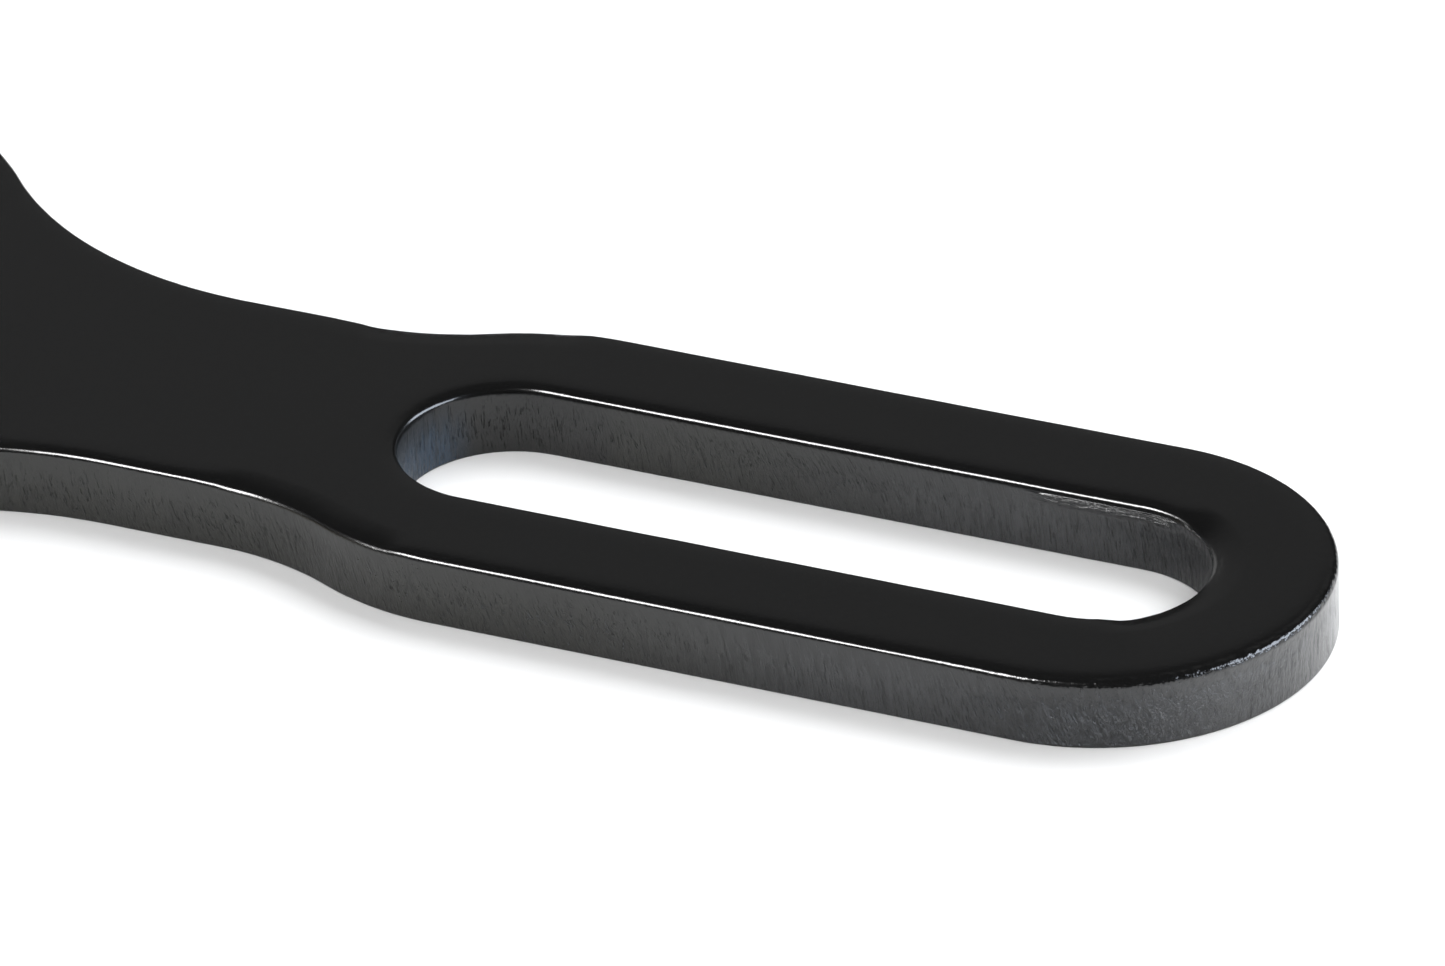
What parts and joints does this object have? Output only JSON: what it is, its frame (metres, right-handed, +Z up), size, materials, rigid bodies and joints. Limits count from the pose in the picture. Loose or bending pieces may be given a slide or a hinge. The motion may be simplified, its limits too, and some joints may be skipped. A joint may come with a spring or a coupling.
{
  "type": "strap wrench",
  "caption": "Strap wrench: a flat slotted steel handle widens into a round two-plate head that holds a loop of webbing, pinned at one end and drawn tight round a roller at the other.",
  "frame": {"origin": "on the underside of the handle plate, in the middle of the neck", "axes": "+X along the handle towards the grip's round end, +Y towards the anchor pin's side, +Z up out of the plate; the wrench lies flat on z = 0"},
  "size_m": [0.2953, 0.1593, 0.0446],
  "materials": {
    "plate": "satin black coating on profile-cut steel plate",
    "hardware": "bright zinc plate",
    "roller": "turned steel",
    "thrust_washer": "plain",
    "webbing": "plain woven cotton webbing",
    "clip": "folded sheet steel"
  },
  "bodies": {
    "wrench": {"handle_plate": "plate", "cheek_plate": "plate", "rear_spacer_left": "hardware", "rear_spacer_right": "hardware", "rear_screw_left": "hardware", "rear_screw_right": "hardware", "rear_washer_left": "hardware", "rear_washer_right": "hardware", "rear_nut_left": "hardware", "rear_nut_right": "hardware", "anchor_screw": "hardware", "heel_screw": "hardware", "heel_washer_lower": "thrust_washer", "heel_washer_upper": "thrust_washer", "strap_eye": "webbing", "strap_side_left": "webbing", "strap_side_right": "webbing", "strap_entry": "webbing", "strap_tail_run": "webbing"},
    "loop_front": {"strap_front": "webbing"},
    "roller": {"heel_roller": "roller"},
    "tail": {"strap_tail": "webbing", "tail_clip": "clip"}
  },
  "joints": [
    {"name": "loop_draw", "type": "slide", "parent": "wrench", "child": "loop_front", "axis": [1, 0, 0], "range_m": [0, 0.0235], "deforming": ["strap_side_left", "strap_side_right"]},
    {"name": "tail_pull", "type": "slide", "parent": "wrench", "child": "tail", "axis": [0, -1, 0], "range_m": [0, 0.0471], "deforming": ["strap_tail_run"]},
    {"name": "roller_spin", "type": "hinge", "parent": "wrench", "child": "roller", "pos_m": [-0.088, -0.025, 0.019], "axis": [0, 0, 1], "range_deg": [-315, 5]}
  ],
  "couplings": [
    {"joint": "tail_pull", "follows": "loop_draw", "ratio": 2},
    {"joint": "roller_spin", "follows": "loop_draw", "rad_per_m": -231.2}
  ]
}
